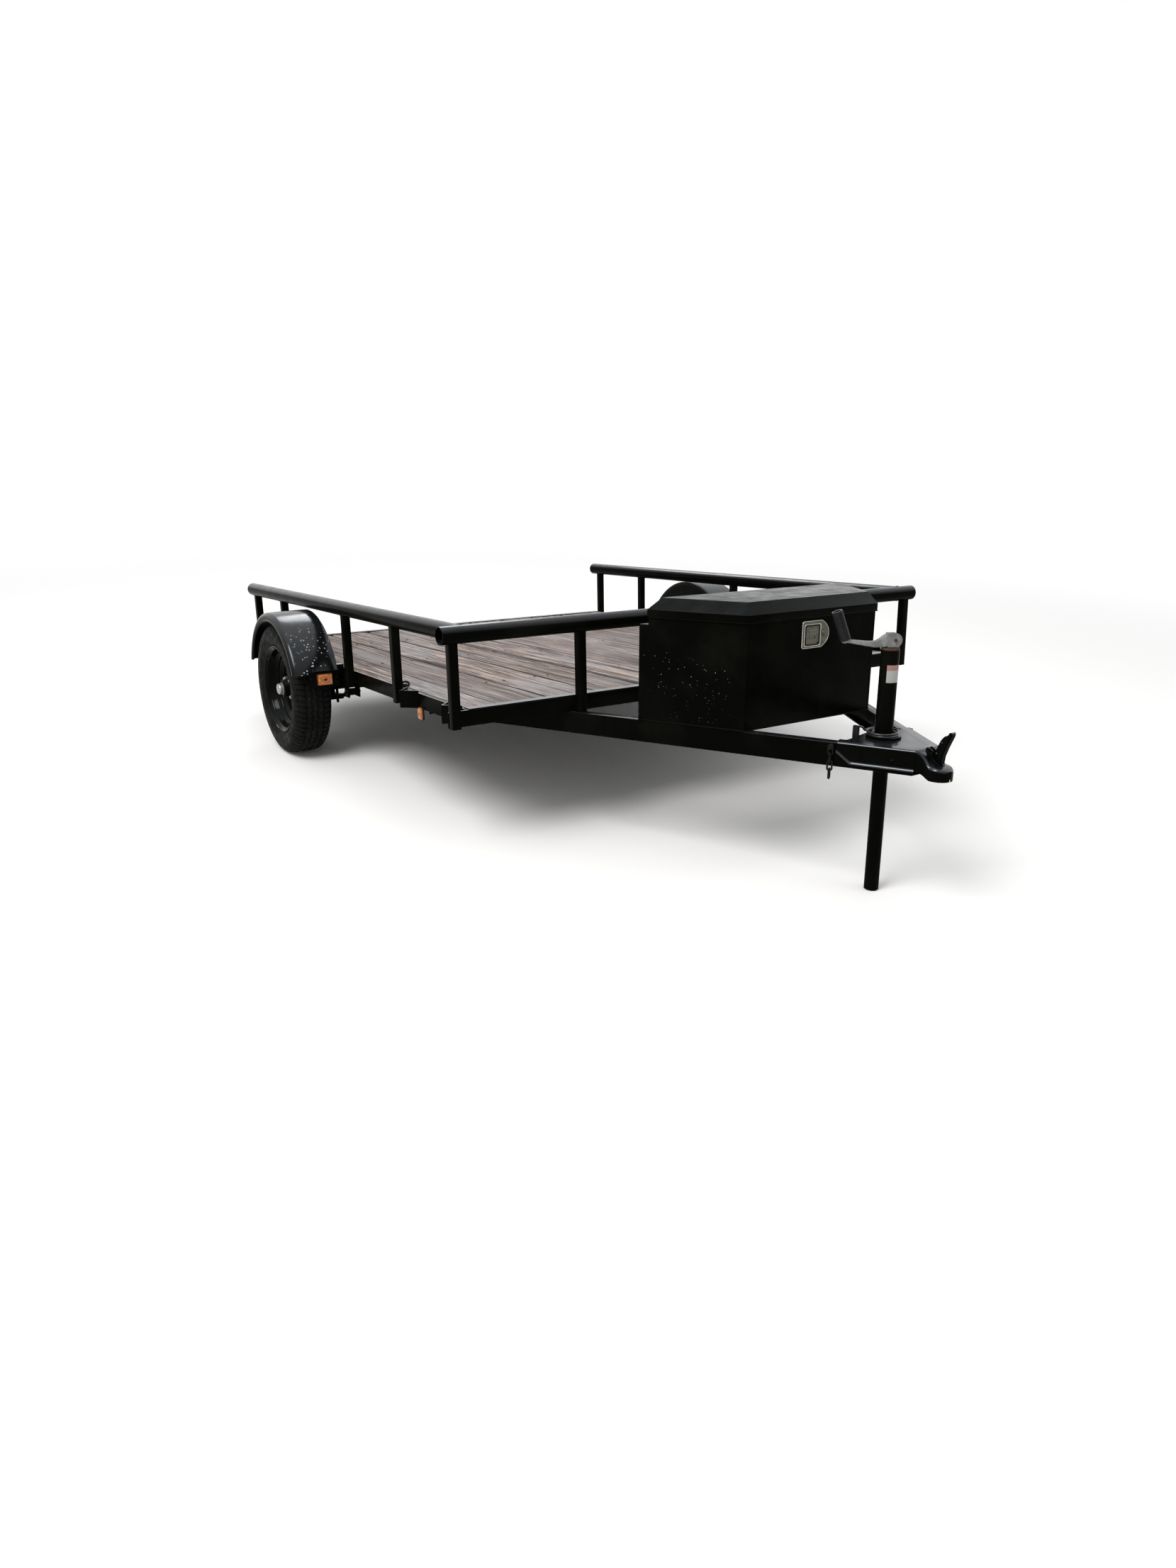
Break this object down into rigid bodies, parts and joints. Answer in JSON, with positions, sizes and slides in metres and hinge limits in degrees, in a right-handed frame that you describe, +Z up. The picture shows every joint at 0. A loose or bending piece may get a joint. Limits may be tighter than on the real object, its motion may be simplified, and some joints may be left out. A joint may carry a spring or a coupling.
{
  "type": "utility trailer",
  "caption": "Single-axle utility trailer with a plank bed, pipe top rails, round fenders, and an A-frame tongue carrying a toolbox, jack and ball coupler.",
  "frame": {"origin": "on the ground, under the middle of the parked trailer's bounding box", "axes": "+Z up, +Y to the rear of the trailer, +X to the right when looking from its coupler end towards its rear; the bed stands nose-up on the jack"},
  "size_m": [2.492, 3.5148, 0.9162],
  "materials": {
    "black_paint": "gloss, weathered",
    "deck_wood": "weathered",
    "tyre": "matte",
    "amber_lens": "gloss",
    "red_lens": "gloss",
    "grey_paint": "satin",
    "black_plastic": "matte",
    "stainless": "satin",
    "zinc": "satin"
  },
  "bodies": {
    "chassis": {"axle": "black_paint", "box_support": "black_paint", "coupler": "black_paint", "coupler_latch": "black_paint", "cross_member_1": "black_paint", "cross_member_2": "black_paint", "cross_member_3": "black_paint", "deck_boards": "deck_wood", "far_fender": "black_paint", "far_fender_lamp": "amber_lens", "far_frame_lamp": "amber_lens", "far_front_corner_post": "black_paint", "far_front_middle_post": "black_paint", "far_leaf_spring": "black_paint", "far_side_aft_wheel_post": "black_paint", "far_side_fore_wheel_post": "black_paint", "far_side_front_post": "black_paint", "far_side_member": "black_paint", "far_side_rail": "black_paint", "far_side_rear_post": "black_paint", "far_stake_pocket_1": "black_paint", "far_stake_pocket_2": "black_paint", "far_tail_lamp": "red_lens", "far_tongue_channel": "black_paint", "front_member": "black_paint", "front_rail": "black_paint", "jack_tube": "black_paint", "near_fender": "black_paint", "near_fender_lamp": "amber_lens", "near_frame_lamp": "amber_lens", "near_front_corner_post": "black_paint", "near_front_middle_post": "black_paint", "near_leaf_spring": "black_paint", "near_side_aft_wheel_post": "black_paint", "near_side_fore_wheel_post": "black_paint", "near_side_front_post": "black_paint", "near_side_member": "black_paint", "near_side_rail": "black_paint", "near_side_rear_post": "black_paint", "near_stake_pocket_1": "black_paint", "near_stake_pocket_2": "black_paint", "near_tail_lamp": "red_lens", "near_tongue_channel": "black_paint", "rear_member": "black_paint", "safety_chains": "zinc", "toolbox": "black_paint", "toolbox_latch": "stainless", "wiring_coil": "black_plastic", "wiring_lead": "black_plastic", "wiring_plug": "black_plastic"},
    "near_wheel": {"near_wheel_rim": "black_paint", "near_tyre": "tyre", "near_hub": "zinc"},
    "far_wheel": {"far_wheel_rim": "black_paint", "far_tyre": "tyre", "far_hub": "zinc"},
    "lid": {"toolbox_lid": "black_paint"},
    "jack_foot": {"jack_leg": "black_paint"},
    "crank": {"jack_crank": "grey_paint", "jack_grip": "black_plastic"}
  },
  "joints": [
    {"name": "near_wheel_spin", "type": "hinge", "parent": "chassis", "child": "near_wheel", "pos_m": [-1.154, 0.83353, 0.285], "axis": [1, 0, 0], "continuous": true},
    {"name": "far_wheel_spin", "type": "hinge", "parent": "chassis", "child": "far_wheel", "pos_m": [1.154, 0.83353, 0.285], "axis": [1, 0, 0], "continuous": true},
    {"name": "toolbox_lid_hinge", "type": "hinge", "parent": "chassis", "child": "lid", "pos_m": [0, -0.85357, 0.83349], "axis": [-1, 0, 0], "range_deg": [0, 85]},
    {"name": "jack_extend", "type": "slide", "parent": "chassis", "child": "jack_foot", "axis": [0, -0.0567, -0.9984], "range_m": [-0.28, 0.04]},
    {"name": "jack_crank_turn", "type": "hinge", "parent": "chassis", "child": "crank", "pos_m": [0, -1.47282, 0.80255], "axis": [0, 0.0567, 0.9984], "continuous": true}
  ]
}
